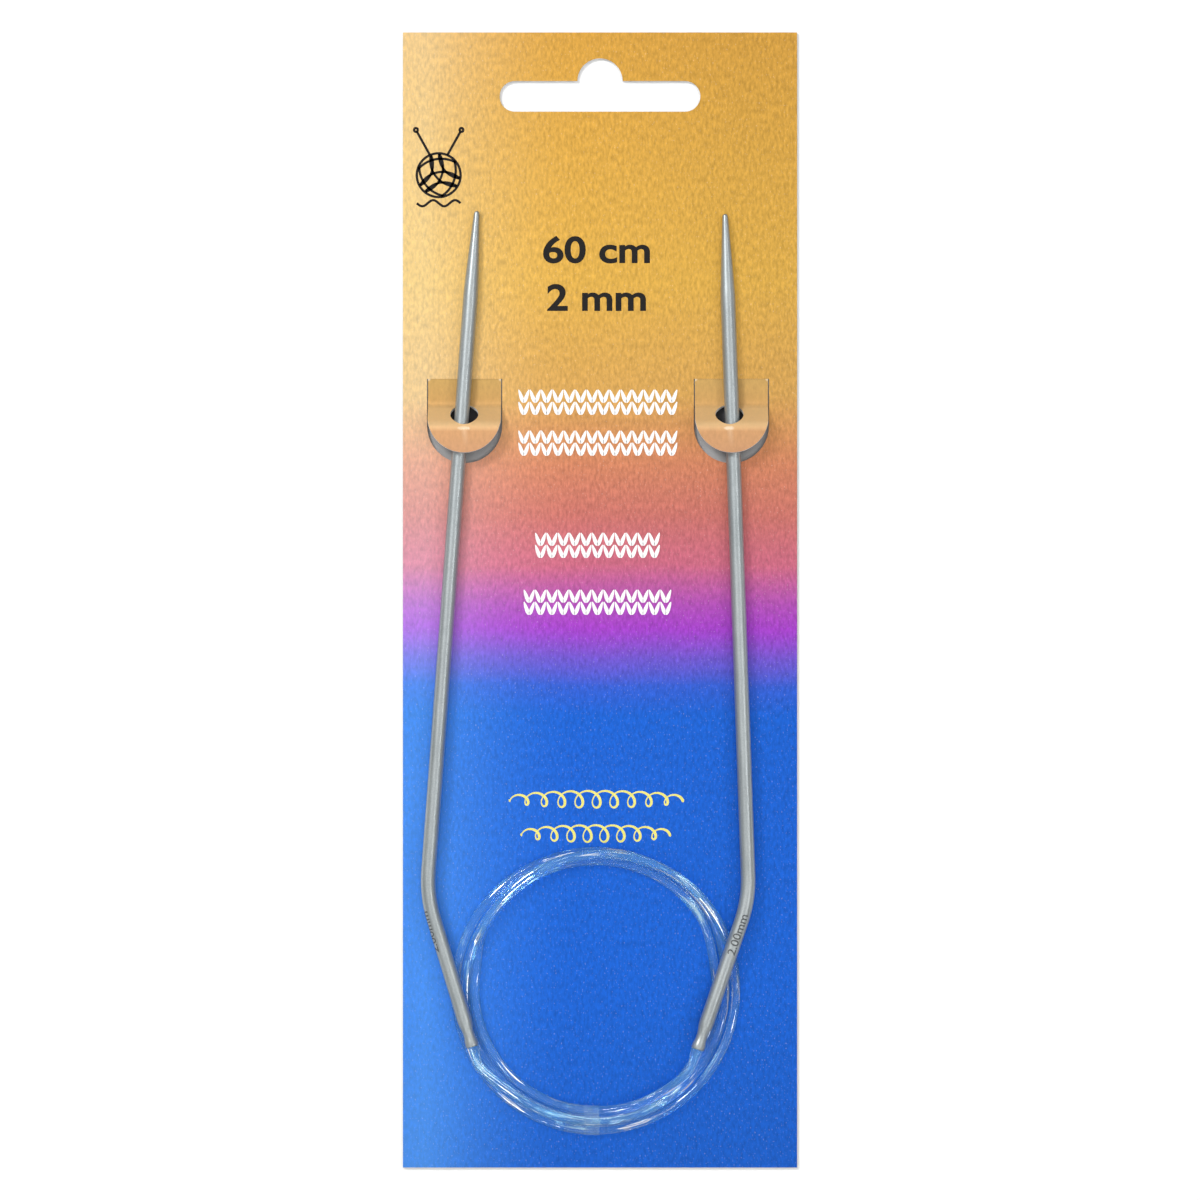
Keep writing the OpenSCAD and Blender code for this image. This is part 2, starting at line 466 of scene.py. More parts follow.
def newTree(name, inputs):
    tree = bpy.data.node_groups.new(name, "GeometryNodeTree")
    tree.interface.new_socket("Geometry", in_out="INPUT", socket_type="NodeSocketGeometry")
    for inputName, kind in inputs:
        tree.interface.new_socket(inputName, in_out="INPUT", socket_type=kind)
    tree.interface.new_socket("Geometry", in_out="OUTPUT", socket_type="NodeSocketGeometry")
    source = tree.nodes.new("NodeGroupInput")
    given = {socket.name: Wire(tree, socket) for socket in source.outputs if socket.name}
    return tree, Wire(tree), given


def endTree(wire, geometry, given):
    solid = wire.node("GeometryNodeRealizeInstances", None, {"Geometry": geometry})
    painted = wire.node("GeometryNodeSetMaterial", None, {"Geometry": solid, "Material": given["Material"]})
    wire.node("NodeGroupOutput", None, {"Geometry": painted})


def applyTree(piece, tree, values, creaseAngle=35):
    modifier = piece.modifiers.new(tree.name, "NODES")
    modifier.node_group = tree
    for item in tree.interface.items_tree:
        if item.in_out == "INPUT" and item.name in values:
            modifier[item.identifier] = values[item.name]
    depsgraph = bpy.context.evaluated_depsgraph_get()
    made = bpy.data.meshes.new_from_object(piece.evaluated_get(depsgraph), depsgraph=depsgraph)
    piece.modifiers.remove(modifier)
    piece.data = made
    made.name = piece.name
    turnOutwards(made, creaseAngle)
    return piece


def pathPiece(name, points, widths):
    mesh = bpy.data.meshes.new(name)
    mesh.from_pydata([tuple(p) for p in points], [(i, i + 1) for i in range(len(points) - 1)], [])
    values = mesh.attributes.new("thickness", "FLOAT", "POINT")
    values.data.foreach_set("value", widths)
    return linkObject(name, mesh)


def roundSweep():  # a round tube along a path
    tree, wire, given = newTree("roundSweep", [
        ("Sides", "NodeSocketInt"), ("Material", "NodeSocketMaterial")])
    line = wire.node("GeometryNodeMeshToCurve", None, {"Mesh": given["Geometry"]})
    width = wire.node("GeometryNodeInputNamedAttribute", {"data_type": "FLOAT"}, {"Name": "thickness"})
    ring = wire.node("GeometryNodeCurvePrimitiveCircle", {"mode": "RADIUS"}, {
        "Resolution": given["Sides"], "Radius": 1.0})
    tube = wire.node("GeometryNodeCurveToMesh", None, {
        "Curve": line, "Profile Curve": ring, "Scale": width, "Fill Caps": True})
    endTree(wire, tube, given)
    return tree


def flatSweep():  # a thin printed stroke along a path
    tree, wire, given = newTree("flatSweep", [
        ("Depth", "NodeSocketFloat"), ("Material", "NodeSocketMaterial")])
    line = wire.node("GeometryNodeMeshToCurve", None, {"Mesh": given["Geometry"]})
    upright = wire.node("GeometryNodeSetCurveNormal", {"mode": "Z_UP"}, {"Curve": line})
    width = wire.node("GeometryNodeInputNamedAttribute", {"data_type": "FLOAT"}, {"Name": "thickness"})
    band = wire.node("GeometryNodeCurvePrimitiveQuadrilateral", {"mode": "RECTANGLE"}, {
        "Width": 2.0, "Height": given["Depth"]})
    stroke = wire.node("GeometryNodeCurveToMesh", None, {
        "Curve": upright, "Profile Curve": band, "Scale": width, "Fill Caps": True})
    endTree(wire, stroke, given)
    return tree


def stitchGrid():  # copies of one stitch in rows and columns
    tree, wire, given = newTree("stitchGrid", [
        ("Width", "NodeSocketFloat"), ("Height", "NodeSocketFloat"), ("Columns", "NodeSocketInt"),
        ("Courses", "NodeSocketInt"), ("Material", "NodeSocketMaterial")])
    grid = wire.node("GeometryNodeMeshGrid", None, {
        "Size X": given["Width"], "Size Y": given["Height"],
        "Vertices X": given["Columns"], "Vertices Y": given["Courses"]})
    copies = wire.node("GeometryNodeInstanceOnPoints", None, {
        "Points": grid, "Instance": given["Geometry"]})
    endTree(wire, copies, given)
    return tree


def smoothValues(stations, places):
    # Values between stations on a curve that never overshoots them.
    at = [station[0] for station in stations]
    value = [station[1] for station in stations]
    rise = [(value[i + 1] - value[i]) / (at[i + 1] - at[i]) for i in range(len(at) - 1)]
    slope = [rise[0]]
    for before, after in zip(rise, rise[1:]):
        slope.append(0.0 if before * after <= 0 else 2 * before * after / (before + after))
    slope.append(rise[-1])
    result = []
    i = 0
    for place in places:
        while i < len(rise) - 1 and place > at[i + 1]:
            i += 1
        step = at[i + 1] - at[i]
        t = (place - at[i]) / step
        result.append((2 * t ** 3 - 3 * t * t + 1) * value[i] + (t ** 3 - 2 * t * t + t) * step * slope[i]
                      + (3 * t * t - 2 * t ** 3) * value[i + 1] + (t ** 3 - t * t) * step * slope[i + 1])
    return result


def smoothPath(points, pieces):
    # A rounder run of points through the given ones.
    ends = [2 * points[0] - points[1], *points, 2 * points[-1] - points[-2]]
    result = []
    for a, b, c, d in zip(ends, ends[1:], ends[2:], ends[3:]):
        for step in range(pieces):
            t = step / pieces
            result.append(0.5 * (2 * b + (c - a) * t + (2 * a - 5 * b + 4 * c - d) * t * t
                                 + (3 * b - a - 3 * c + d) * t ** 3))
    result.append(points[-1])
    return result


sweepRound = roundSweep()
sweepFlat = flatSweep()
gridOfStitches = stitchGrid()


# The clear cable: one strand, wound three times and a third

cable = {
    "middle": (-0.6, -53.4),
    "diameter": 1.3,
    "rootDiameter": 1.8,
    "plugDiameter": 0.9,
    "sides": 20,
    "turnStep": 5.0,
    "plugLength": 2.0,  # how far the strand runs on inside each shaft
    "leftEnd": [(-17.402, -60.971, 3.16), (-16.736, -63.172, 3.197)],
    "leftLead": [
        (-16.05, -64.1, 3.15), (-15.2, -64.9, 3.02), (-14.2, -65.7, 2.86),
        (-13.15, -66.5, 2.7), (-12, -67.3, 2.57), (-10.85, -68.1, 2.49),
    ],
    "rightLead": [
        (11.9, -64.5, 3.15), (11, -65.4, 3.02), (10, -66.2, 2.86),
        (8.9, -66.95, 2.7), (7.75, -67.6, 2.57), (6.5, -68.3, 2.49),
    ],
    "rightEnd": [(13.287, -61.317, 3.165), (12.537, -63.491, 3.202)],
    "radii": [  # degrees round, and distance from the middle
        (239.4, 17.9), (270, 17.8), (312, 17.7), (360, 17.8), (400, 18.85), (435, 19.0), (467, 18.95),
        (510, 19.15), (564, 19.15), (630, 19.15), (690, 19.15), (730, 19.2), (760, 19.25), (795, 18.9),
        (827, 18.35), (870, 17.75), (924, 17.8), (990, 17.78), (1020, 17.7), (1040, 16.6), (1055, 16.5),
        (1090, 16.55), (1120, 17.6), (1155, 17.7), (1187, 17.7), (1230, 17.4), (1252, 16.5), (1284, 16.45),
        (1350, 16.45), (1370.6, 16.5),
    ],
    "heights": [
        (239.4, 2.46), (300, 2.44), (312, 2.3), (335, 1.16), (360, 1.14), (735, 1.14), (760, 2.42),
        (870, 2.42), (892, 1.14), (1340, 1.14), (1350, 1.3), (1370.6, 2.46),
    ],
}


def cablePath():
    first = cable["radii"][0][0]
    last = cable["radii"][-1][0]
    steps = round((last - first) / cable["turnStep"])
    degrees = [first + (last - first) * i / steps for i in range(steps + 1)]
    radii = smoothValues(cable["radii"], degrees)
    heights = smoothValues(cable["heights"], degrees)
    points = [Vector(p) for p in [*cable["leftEnd"], *cable["leftLead"]]]
    for degree, radius, height in zip(degrees, radii, heights):
        turn = math.radians(degree)
        x = cable["middle"][0] + radius * math.cos(turn)
        y = cable["middle"][1] + radius * math.sin(turn)
        points.append(Vector((x, y, height)))
    points += [Vector(p) for p in [*cable["rightLead"][::-1], *cable["rightEnd"][::-1]]]
    return [p * mm for p in smoothPath(points, 3)]


def straighten(mesh, line):
    # Where each point would be on the strand pulled straight, for patterns that follow it.
    radius = cable["diameter"] / 2 * mm
    values = []
    along = 0.0
    for ring, point in enumerate(line):
        along += (point - line[max(ring - 1, 0)]).length
        for k in range(cable["sides"]):
            turn = 2 * math.pi * k / cable["sides"]
            values += [radius * math.cos(turn), radius * math.sin(turn), along]
    assert len(values) == 3 * len(mesh.vertices)
    mesh.attributes.new("straight", "FLOAT_VECTOR", "POINT").data.foreach_set("vector", values)


def makeCable():
    points = cablePath()
    plug = cable["plugLength"] * mm
    step = 0.02 * mm  # the root narrows to the plug in this length
    firstWay = (points[0] - points[3]).normalized()
    lastWay = (points[-1] - points[-4]).normalized()
    whole = [points[0] + firstWay * plug, points[0] + firstWay * step, *points,
             points[-1] + lastWay * step, points[-1] + lastWay * plug]
    root = (Vector(cable["leftEnd"][0]) - Vector(cable["leftEnd"][1])).length * mm
    widths = []
    for point in whole:
        near = min((point - points[0]).length, (point - points[-1]).length)
        share = min(1.0, near / root)
        width = cable["rootDiameter"] + (cable["diameter"] - cable["rootDiameter"]) * share
        widths.append(width / 2 * mm)
    for place in (0, 1, -2, -1):
        widths[place] = cable["plugDiameter"] / 2 * mm
    piece = pathPiece("clearCable", whole, widths)
    applyTree(piece, sweepRound, {"Sides": cable["sides"], "Material": finishes["cable"]}, 50)
    straighten(piece.data, whole)
    return piece, points


clearCable, cableLine = makeCable()
length = sum((b - a).length for a, b in zip(cableLine, cableLine[1:]))
print("cable", len(cableLine), "points", round(length / mm, 1), "mm")


# The clear tape round the turns

def loopOver(strands, radius):
    # The tight band over the strands and down to the board: each direction takes the furthest strand.
    loop = []
    for degree in range(-40, 221, 8):
        way = Vector((math.cos(math.radians(degree)), math.sin(math.radians(degree))))
        furthest = max(strands, key=lambda strand: Vector(strand).dot(way))
        loop.append(Vector(furthest) + way * radius)
    return loop


def makeTape():
    radius = cable["diameter"] / 2 + tape["gap"]
    loops = [loopOver(tape["strands"], radius), loopOver(tape["strands"], radius + tape["film"])]
    count = len(loops[0])
    verts = []
    for step in range(tape["steps"] + 1):
        along = tape["width"] * (step / tape["steps"] - 0.5)
        turn = math.radians(tape["turn"]) + along / tape["spineRadius"]
        for loop in loops:
            for point in loop:
                x = cable["middle"][0] + point.x * math.cos(turn)
                y = cable["middle"][1] + point.x * math.sin(turn)
                verts.append(Vector((x, y, max(point.y, tape["lowest"]))) * mm)
    faces = []
    for step in range(tape["steps"]):
        base = step * 2 * count
        for side in (0, count):
            for k in range(side, side + count - 1):
                faces.append([base + k, base + k + 1, base + k + 1 + 2 * count, base + k + 2 * count])
        for k in (0, count - 1):
            faces.append([base + k, base + k + count, base + k + 3 * count, base + k + 2 * count])
    for base in (0, tape["steps"] * 2 * count):
        for k in range(count - 1):
            faces.append([base + k, base + k + 1, base + count + k + 1, base + count + k])
    return makePiece("tapeBand", verts, faces, [finishes["tape"]])


tapeBand = makeTape()
print("tape ready")


# The two shafts, each a tapered point, a bend and a swaged rear end

shaft = {
    "diameter": 2.0,
    "frontLength": 93.8,
    "rearLength": 21.6,
    "bend": 21.0,
    "bendRadius": 18.0,
    "taper": 12.0,
    "bore": 0.9,
    "boreDepth": 2.6,
    "climb": 0.017,  # rises by this much for each millimetre down the card
    "levelAt": 25.27,  # height on the card where the middle line is at this level
    "level": 1.695,
    "sides": 48,
    "bendReach": 3.4,
    "bendRings": 12,
    "rearRings": (-14, -9, -5),
    "frontRings": (8, 20, 35, 50, 65, 76),
    "rear": [  # from the rear end forwards, and diameter
        (0.0, 1.52), (0.05, 1.68), (0.14, 1.78), (0.3, 1.8), (0.6, 1.79), (0.85, 1.74), (1.15, 1.6),
        (1.5, 1.5), (2.0, 1.5), (2.4, 1.56), (2.8, 1.72), (3.15, 1.88), (3.5, 1.97), (3.9, 2.0),
    ],
    "point": [  # share of the taper, and of the thickness
        (0.0, 1.0), (0.08, 0.985), (0.2, 0.92), (0.45, 0.76), (0.75, 0.54), (0.93, 0.405), (0.972, 0.365),
    ],
}
shaftSides = {  # where the bend's corner is on the card, and which way the long part leans
    "left": {"corner": (-23.66, -40.3), "lean": -4.16, "mirror": 1},
    "right": {"corner": (20.33, -40.9), "lean": 1.97, "mirror": -1},
}


def shaftPlace(side):
    setup = shaftSides[side]
    x, y = setup["corner"]
    z = shaft["level"] + (shaft["levelAt"] - y) * shaft["climb"]
    return (Matrix.Scale(mm, 4) @ Matrix.Translation((x, y, z))
            @ Matrix.Rotation(-math.atan(shaft["climb"]), 4, "X")
            @ Matrix.Rotation(math.radians(setup["lean"]), 4, "Z")
            @ Matrix.Diagonal((setup["mirror"], 1, 1, 1)))


def shaftLine(along):
    # Place and direction on the middle line, in the shaft's own plane, from the corner of the bend.
    bend = math.radians(shaft["bend"])
    radius = shaft["bendRadius"]
    cut = radius * math.tan(bend / 2)
    if along >= cut:
        return Vector((0, along, 0)), Vector((0, 1, 0))
    if along <= -cut:
        way = Vector((-math.sin(bend), math.cos(bend), 0))
        return way * along, way
    turn = bend * (cut - along) / (2 * cut)
    place = Vector((radius * (1 - math.cos(turn)), cut - radius * math.sin(turn), 0))
    return place, Vector((-math.sin(turn), math.cos(turn), 0))


def aroundShaft(along, turn, radius):
    # A point round the middle line: 0 is in the shaft's plane, a quarter turn is straight up.
    middle, way = shaftLine(along)
    across = Vector((way.y, -way.x, 0))
    return middle + radius * (math.cos(turn) * across + math.sin(turn) * Vector((0, 0, 1)))


def shaftProfile():
    # Each ring's distance from the bend's corner and its radius: bore, rear end, bend, point, tip.
    rear = shaft["rearLength"]
    half = shaft["diameter"] / 2
    bore = shaft["bore"] / 2
    reach = shaft["bendReach"]
    taper = shaft["taper"]
    straight = shaft["frontLength"] - taper
    lip = 0.06  # chamfer at the mouth of the bore
    stations = [(-rear + shaft["boreDepth"], bore), (-rear + lip, bore), (-rear, bore + lip)]
    stations += [(-rear + at, size / 2) for at, size in shaft["rear"]]
    stations += [(at, half) for at in shaft["rearRings"]]
    stations += [(-reach + 2 * reach * i / shaft["bendRings"], half) for i in range(shaft["bendRings"] + 1)]
    stations += [(at, half) for at in shaft["frontRings"]]
    roundFrom, roundSize = shaft["point"][-1]
    places = [roundFrom * i / 40 for i in range(40)]
    for place, size in zip(places, smoothValues(shaft["point"], places)):
        stations.append((straight + taper * place, size * half))
    blunt = taper * (1 - roundFrom)
    for i in range(9):
        turn = math.pi / 2 * i / 9
        at = straight + taper - blunt * (1 - math.sin(turn))
        stations.append((at, roundSize * half * math.cos(turn)))
    return stations


def makeShaft(side):
    place = shaftPlace(side)
    verts = []
    stations = shaftProfile()
    count = shaft["sides"]
    for along, radius in stations:
        for k in range(count):
            verts.append(place @ aroundShaft(along, 2 * math.pi * k / count, radius))
    faces = []
    for ring in range(len(stations) - 1):
        for k in range(count):
            a = ring * count + k
            b = ring * count + (k + 1) % count
            faces.append([a, b, b + count, a + count])
    for along, ring in ((stations[0][0], 0), (shaft["frontLength"], len(stations) - 1)):
        verts.append(place @ shaftLine(along)[0])
        for k in range(count):
            faces.append([ring * count + k, ring * count + (k + 1) % count, len(verts) - 1])
    return makePiece(side + "Shaft", verts, faces, [finishes["coating"]], None, 50)


leftShaft = makeShaft("left")
rightShaft = makeShaft("right")
print("shafts ready")


# The raised tabs

tab = {
    "width": 10.0,
    "length": 11.4,
    "fold": 30.3,
    "board": 0.4,
    "hole": 3.85,
    "holeAlong": 5.6,
    "slopes": [  # along the board, and degrees
        (0, 1), (2.9, 1), (3.5, 16), (3.9, 32), (4.4, 48),
        (6.8, 48), (7.35, 34), (7.85, 20), (8.4, 8), (11.5, 8),
    ],
    "bendStep": 0.01,
    "middles": {"left": -18.55, "right": 18.0},
    "holes": {"left": -18.55, "right": 17.7},
    "rings": 12,
    "topGap": 0.012,
    "metal": 0.3,
    "creaseAt": 23.45,
    "creaseHighlightColour": (1.0, 0.90, 0.72, 1),
    "slopeLightColour": (1.0, 0.74, 0.38, 1),
    "foldShadeColour": (0.34, 0.20, 0.07, 1),
    "inkFrom": 19.5 * mm,  # heights on the card between which the ink changes
    "inkTo": 31 * mm,
    "stops": [(0.0, (190, 140, 100)), (0.35, (196, 146, 96)), (0.7, (194, 150, 84)), (1.0, (192, 154, 84))],
}


def tabBend():
    # Where each step along the board ends up: along, up and slope.
    step = tab["bendStep"]
    count = round(tab["slopes"][-1][0] / step) + 1
    along = 0.0
    up = 0.0
    result = []
    for slope in smoothValues(tab["slopes"], [i * step for i in range(count)]):
        turn = math.radians(slope)
        result.append((along, up, turn))
        along += step * math.cos(turn)
        up += step * math.sin(turn)
    return result


bentBoard = tabBend()


def tabOutline():
    half = tab["width"] / 2
    straight = tab["length"] - half
    top = tab["topGap"]
    points = [(half - tab["width"] * i / 24, -top) for i in range(24)]
    points += [(-half, -top - (straight - top) * i / 18) for i in range(18)]
    for i in range(48):
        turn = math.pi + math.pi * i / 48
        points.append((half * math.cos(turn), -straight + half * math.sin(turn)))
    points += [(half, -straight + (straight - top) * i / 18) for i in range(18)]
    return [Vector(point) for point in points]


def makeTab(side):
    middle = tab["middles"][side]
    hole = Vector((tab["holes"][side] - middle, -tab["holeAlong"]))
    outline = tabOutline()
    verts = []
    for ring in range(tab["rings"] + 1):
        share = ring / tab["rings"]
        for point in outline:
            inner = hole + (point - hole).normalized() * tab["hole"] / 2
            verts.append((*(inner.lerp(point, share)), 0.0))
    count = len(outline)
    faces = []
    for ring in range(tab["rings"]):
        for k in range(count):
            a = ring * count + k
            b = ring * count + (k + 1) % count
            faces.append([a, b, b + count, a + count])
    flat = bpy.data.meshes.new("flatTab")
    flat.from_pydata(verts, [], faces)

    def bent(x, y, height):
        nearest = round(-y / tab["bendStep"])
        along, up, turn = bentBoard[min(len(bentBoard) - 1, max(0, nearest))]
        more = -y - nearest * tab["bendStep"]
        along += more * math.cos(turn)
        up += more * math.sin(turn)
        return Vector((middle + x, tab["fold"] - along + height * math.sin(turn),
                       tab["board"] / 2 + up + height * math.cos(turn))) * mm

    half = tab["board"] / 2
    materials = [tabMaterial(side), finishes["board"]]
    return thicken(side + "RaisedTab", flat, bent, -half, half, materials, 1, 40)


def tabMaterial(side):  # the card's foil on the raised board, stretched and creased below the hole, with painted highlights on its creases, painted shade along its fold and painted light on its steep band
    material, wire = startMaterial(side + "TabFoil")
    place, x, y, z = readPlace(wire)
    grain = foilGrain(place)
    height = y.between(tab["inkFrom"], tab["inkTo"])
    stops = [(at, screenColour(*colour)) for at, colour in tab["stops"]]
    ink = wire.node("ShaderNodeValToRGB", {"stops": stops}, {0: height})
    shade = 1.0 + (grain - 0.5) * 0.4
    shades = wire.node("ShaderNodeCombineColor", None, {0: shade, 1: shade, 2: shade})
    ink = ink.blendTo(shades, 1.0, "MULTIPLY")
    fromHole = x / mm - tab["holes"][side]
    fromMiddle = x / mm - tab["middles"][side]
    below = y / mm - tab["creaseAt"]
    spot = fromHole * fromHole * 1.4 + below * below * 9.0  # the crease under the hole, which is bumped and gets a painted highlight
    crease = 1 - (spot + (grain - 0.5) * 2.2).between(0.0, 1.1)
    fan = wire.maths("ABSOLUTE", fromHole + below * 0.12)  # a faint painted highlight line from the crease to the lip
    fan = (1 - fan.between(0.0, 0.5)) * (1 - below.between(-0.2, 0.3)) * below.between(-2.6, -0.4)
    corner = tab["width"] / 2 - wire.maths("ABSOLUTE", fromMiddle)
    top = tab["fold"] - y / mm
    # painted highlights at the two top corners of the fold
    cornerHighlight = 1 - (corner * corner * 6.0 + top * top * 6.0).between(0.0, 1.0)
    # painted shade: the foil is darker along the fold, but not at the corner highlights
    fold = (1 - top.between(0.0, 0.22)) * (1 - cornerHighlight)
    slope = top.between(3.5, 4.1) * (1 - top.between(6.3, 7.3))
    ink = ink.blendTo(tab["foldShadeColour"], fold * 0.4)
    ink = ink.blendTo(tab["slopeLightColour"], slope * 0.4)  # painted light: the steep band is lightened to offset the shade that falls on it
    # painted highlights on the creases: the spot under the hole, the faint line and the top corners
    paintedCreaseHighlight = wire.maths("MAXIMUM", crease * 0.5, fan * 0.14) + cornerHighlight * 0.45
    ink = ink.blendTo(tab["creaseHighlightColour"], paintedCreaseHighlight)
    bump = wire.node("ShaderNodeBump", None, {
        "Strength": 0.35, "Distance": 0.02 * mm, "Height": grain + crease * 1.5})
    endMaterial(wire, {"Base Color": ink, "Metallic": tab["metal"], "Roughness": 0.44 + (grain - 0.5) * 0.3,
                       "Normal": bump})
    return material


leftRaisedTab = makeTab("left")
rightRaisedTab = makeTab("right")
print("tabs ready")


# Print on the card's face

inkLayer = {
    "face": 0.4,  # the card's face
    "under": -0.004,
    "over": 0.012,
}
sizeWords = [
    {"name": "lengthPrint", "words": "60 cm", "box": (-7.8, 46.1, 6.85, 49.9), "bold": 0.022},
    {"name": "thicknessPrint", "words": "2 mm", "box": (-7.25, 39.6, 6.3, 43.3), "bold": 0.022},
]


def wordMesh(words, bold):
    curve = bpy.data.curves.new("words", "FONT")
    curve.body = words
    curve.offset = bold
    curve.resolution_u = 6
    holder = linkObject("words", curve)
    depsgraph = bpy.context.evaluated_depsgraph_get()
    mesh = bpy.data.meshes.new_from_object(holder.evaluated_get(depsgraph), depsgraph=depsgraph)
    bpy.data.objects.remove(holder)
    return mesh


def fitMesh(mesh, box):
    # Stretches a flat mesh into a box: left, bottom, right, top.
    xs = [v.co.x for v in mesh.vertices]
    ys = [v.co.y for v in mesh.vertices]
    for v in mesh.vertices:
        v.co.x = box[0] + (v.co.x - min(xs)) * (box[2] - box[0]) / (max(xs) - min(xs))
        v.co.y = box[1] + (v.co.y - min(ys)) * (box[3] - box[1]) / (max(ys) - min(ys))
        v.co.z = 0


def onFace(x, y, height):
    return Vector((x, y, inkLayer["face"] + height)) * mm


printed = []
for setup in sizeWords:
    letters = wordMesh(setup["words"], setup["bold"])
    fitMesh(letters, setup["box"])
    printed.append(thicken(setup["name"], letters, onFace, inkLayer["under"], inkLayer["over"],
                           [finishes["black"]]))
print("sizes printed")

stitch = {
    "pitch": 1.56,
    "courseGap": 1.66,
    "legLength": 0.97,
    "legWidth": 0.25,
    "slant": 19.5,
    "spread": 0.39,
    "corners": 14,
    "bands": [  # name, middle, columns
        ("upperBand", (-0.3, 27.1), 14), ("lowerBand", (-0.3, 21.5), 14),
        ("wideBand", (-0.35, 7.5), 11), ("longBand", (-0.35, -0.3), 13),
    ],
}


def makeStitch(name):
    verts = []
    faces = []
    count = stitch["corners"]
    for mirror in (-1, 1):
        lean = math.radians(stitch["slant"]) * mirror
        for height in (inkLayer["under"], inkLayer["over"]):
            for k in range(count):
                turn = 2 * math.pi * k / count
                across = stitch["legWidth"] * math.sin(turn) * (1 - 0.35 * math.cos(turn))
                along = stitch["legLength"] * math.cos(turn)
                x = mirror * stitch["spread"] + across * math.cos(lean) + along * math.sin(lean)
                y = along * math.cos(lean) - across * math.sin(lean)
                verts.append(onFace(x, y, height))
        base = len(verts) - 2 * count
        faces.append([base + k for k in range(count)][::-1])
        faces.append([base + count + k for k in range(count)])
        for k in range(count):
            after = (k + 1) % count
            faces.append([base + k, base + after, base + count + after, base + count + k])
    return makePiece(name, verts, faces, [finishes["white"]])


for name, middle, columns in stitch["bands"]:
    band = makeStitch(name)
    applyTree(band, gridOfStitches, {
        "Width": (columns - 1) * stitch["pitch"] * mm, "Height": stitch["courseGap"] * mm,
        "Columns": columns, "Courses": 2, "Material": finishes["white"]})
    band.data.transform(Matrix.Translation((middle[0] * mm, middle[1] * mm, 0)))
    printed.append(band)
print("stitch bands printed")

yarn = {
    "depth": 0.1,
    "lines": [  # left end, right end, height on the card
        ("upperYarnLine", -12.4, 11.4, -27.3),
        ("lowerYarnLine", -10.8, 9.6, -32.0),
    ],
    "wave": 2.3,
    "rise": 1.15,
    "loop": 1.08,
    "flatten": 0.35,  # the loops shrink towards both ends, faster for a larger power
    "steps": 40,  # points in each loop
    "thin": 0.08,
    "thick": 0.19,
}


def yarnLine(left, right, middle):
    # A row of soft loops, thick on the way down and thin on the way up.
    points = []
    widths = []
    turns = round((right - left) / yarn["wave"])
    steps = turns * yarn["steps"]
    for i in range(steps + 1):
        turn = 2 * math.pi * turns * i / steps
        swell = math.sin(math.pi * i / steps) ** yarn["flatten"] if 0 < i < steps else 0.0
        x = left + (right - left) * i / steps - yarn["loop"] * swell * math.sin(turn)
        y = middle - yarn["rise"] * swell * math.cos(turn)
        points.append(Vector((x, y, inkLayer["face"])) * mm)
        share = 0.5 - 0.5 * math.sin(turn)
        widths.append((yarn["thin"] + (yarn["thick"] - yarn["thin"]) * share) * mm)
    return points, widths


for name, left, right, middle in yarn["lines"]:
    points, widths = yarnLine(left, right, middle)
    line = pathPiece(name, points, widths)
    applyTree(line, sweepFlat, {"Depth": yarn["depth"], "Material": finishes["yellow"]})
    printed.append(line)

ball = {
    "middle": (-22.1, 58.2),
    "radius": 3.0,
    "line": 0.17,
    "depth": 0.08,
    "strands": [(1.43, 1.08), (1.045, 1.18), (0.66, 1.4)],  # each arc's middle and radius, in radii
    "windings": (40, 160, 280),  # the three ways that the yarn is wound
    "strandsWithin": 0.97,
    "needleFoot": (0.4, 0.92),
    "needleHead": (1.0, 2.0),
    "knob": 0.26,
    "tailDrop": 1.28,
    "tailWave": 0.42,
}


def arcPoints(middle, radius, start, end, steps=32):
    turns = [math.radians(start + (end - start) * i / steps) for i in range(steps + 1)]
    return [(middle[0] + radius * math.cos(t), middle[1] + radius * math.sin(t)) for t in turns]


def ballStrokes():
    # A ball of yarn with two needles stuck in it.
    cx, cy = ball["middle"]
    r = ball["radius"]
    strokes = [arcPoints(ball["middle"], r, 0, 360, 64)]
    for far, reach in ball["strands"]:
        away = r * far
        bow = r * reach
        edge = r * ball["strandsWithin"]
        half = math.degrees(math.acos((away ** 2 + bow ** 2 - edge ** 2) / (2 * away * bow)))
        for heading in ball["windings"]:
            turn = math.radians(heading)
            middle = (cx + away * math.cos(turn), cy + away * math.sin(turn))
            strokes.append(arcPoints(middle, bow, heading + 180 - half, heading + 180 + half))
    for lean in (-1, 1):
        foot = (cx + lean * ball["needleFoot"][0] * r, cy + ball["needleFoot"][1] * r)
        head = (cx + lean * ball["needleHead"][0] * r, cy + ball["needleHead"][1] * r)
        strokes.append([foot, head])
        strokes.append(arcPoints((head[0] + lean * 0.12, head[1] + 0.2), ball["knob"], 0, 360, 16))
    level = cy - ball["tailDrop"] * r
    strokes.append([(cx - r + 2 * r * i / 30, level - ball["tailWave"] * math.sin(2 * math.pi * i / 15))
                    for i in range(31)])
    return strokes


def joinPieces(name, pieces):
    verts = []
    faces = []
    for piece in pieces:
        base = len(verts)
        verts += [v.co.copy() for v in piece.data.vertices]
        faces += [[base + corner for corner in face.vertices] for face in piece.data.polygons]
        material = piece.data.materials[0]
        bpy.data.objects.remove(piece)
    return makePiece(name, verts, faces, [material])


strokes = []
for number, stroke in enumerate(ballStrokes()):
    points = [Vector((x, y, inkLayer["face"])) * mm for x, y in stroke]
    line = pathPiece("ballStroke" + str(number), points, [ball["line"] * mm] * len(points))
    strokes.append(applyTree(line, sweepFlat, {"Depth": ball["depth"], "Material": finishes["black"]}))
printed.append(joinPieces("yarnBall", strokes))
print("yarn ornaments printed")


# The size mark on each shaft

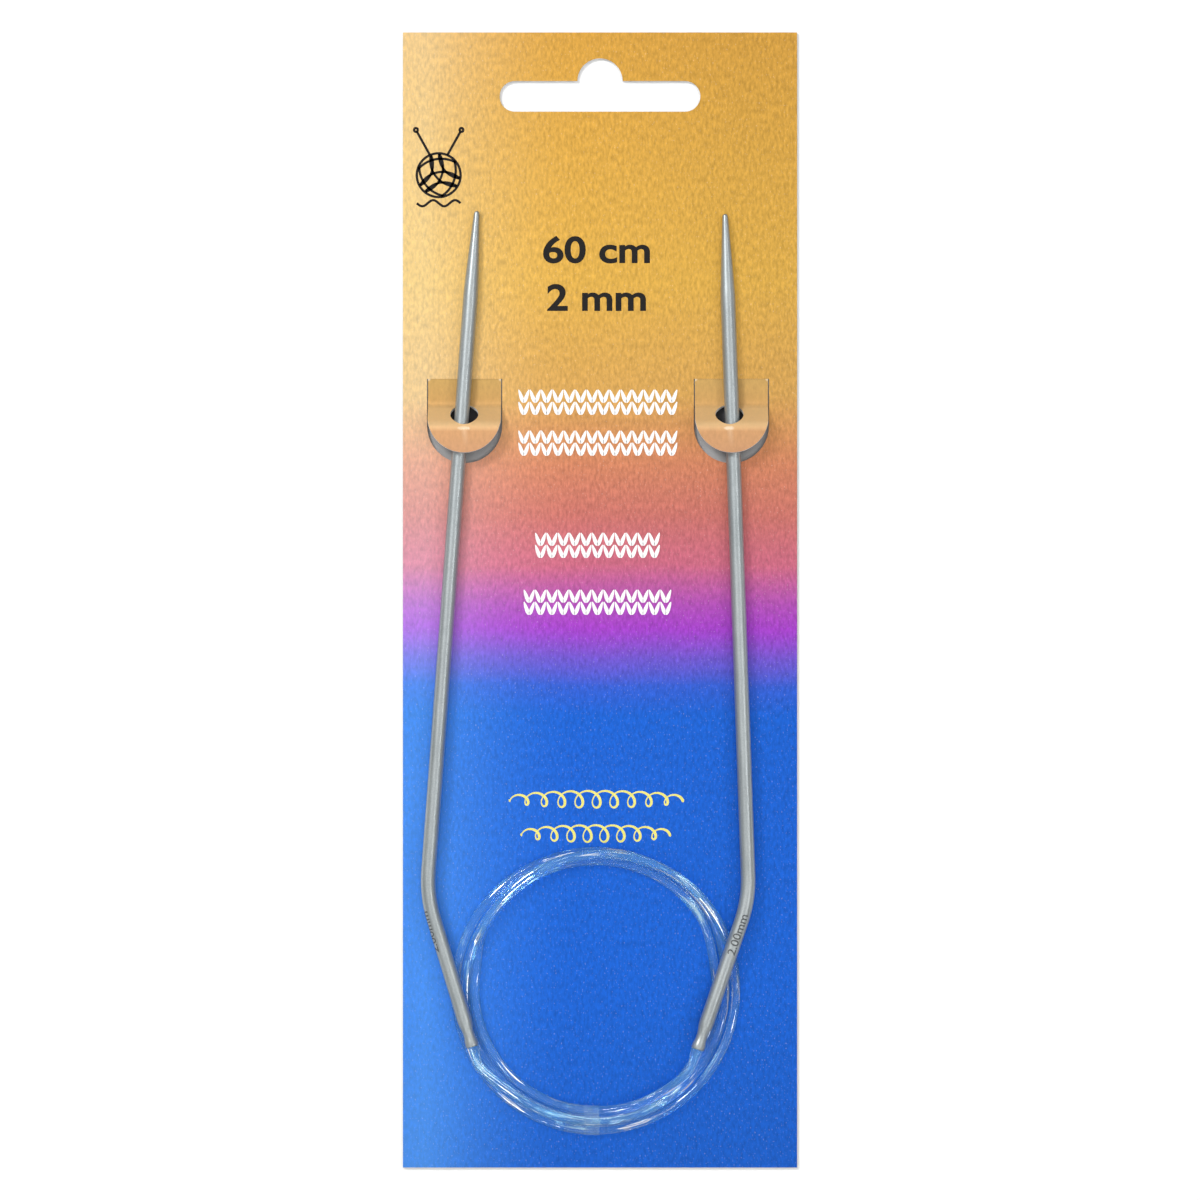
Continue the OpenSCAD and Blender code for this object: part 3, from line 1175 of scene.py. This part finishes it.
mark = {
    "words": "2.00mm",
    "from": -7.9,
    "to": -2.1,
    "height": 1.15,
    "bold": 0.01,
    "depth": 0.01,  # below and above the coating
    "turns": {"left": 66.0, "right": 4.0},  # from the top towards the outer side
    "slices": 14,
}


def makeMark(side):
    letters = wordMesh(mark["words"], mark["bold"])
    fitMesh(letters, (mark["from"], -mark["height"] / 2, mark["to"], mark["height"] / 2))
    shape = bmesh.new()
    shape.from_mesh(letters)
    for i in range(1, mark["slices"]):  # cut into strips, so that the letters can follow the round
        level = mark["height"] * (i / mark["slices"] - 0.5)
        bmesh.ops.bisect_plane(shape, geom=[*shape.verts, *shape.edges, *shape.faces],
                               plane_co=(0, level, 0), plane_no=(0, 1, 0))
    shape.to_mesh(letters)
    shape.free()
    place = shaftPlace(side)
    half = shaft["diameter"] / 2
    hand = shaftSides[side]["mirror"]

    def wrapped(x, y, height):
        turn = math.radians(90 + mark["turns"][side]) + hand * y / half
        return place @ aroundShaft(x, turn, half + height)

    return thicken(side + "SizeMark", letters, wrapped, -mark["depth"], mark["depth"], [finishes["mark"]])


leftSizeMark = makeMark("left")
rightSizeMark = makeMark("right")
print("size marks printed")


# Floor, and what rides on what

def makeFloor():
    half = studio["floorSide"] / 2
    level = studio["floorLevel"]
    corners = [(-half, -half, level), (half, -half, level), (half, half, level), (-half, half, level)]
    pale = inkMaterial("paleFloor", (0.90, 0.90, 0.90, 1), (0.93, 0.93, 0.93, 1), 0.85,
                       tab["middles"].values())
    return makePiece("paleFloor", corners, [[0, 1, 2, 3]], [pale])


floor = makeFloor()

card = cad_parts["hang_card"]
card.data.materials.clear()
card.data.materials.append(finishes["card"])

for piece in printed:
    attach(piece, "card")

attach(leftRaisedTab, "left_tab_board")
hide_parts("left_tab")
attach(rightRaisedTab, "right_tab_board")
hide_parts("right_tab")

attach(leftShaft, "needle")
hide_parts("left_needle")
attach(rightShaft, "needle")
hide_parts("right_needle")
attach(leftSizeMark, "needle")
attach(rightSizeMark, "needle")

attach(tapeBand, "needle")
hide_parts("tape_band")

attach(clearCable, "needle")
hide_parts("left_cable_end", "right_cable_end", "left_cable_lead", "right_cable_lead",
            "cable_coil")

print("all pieces placed")
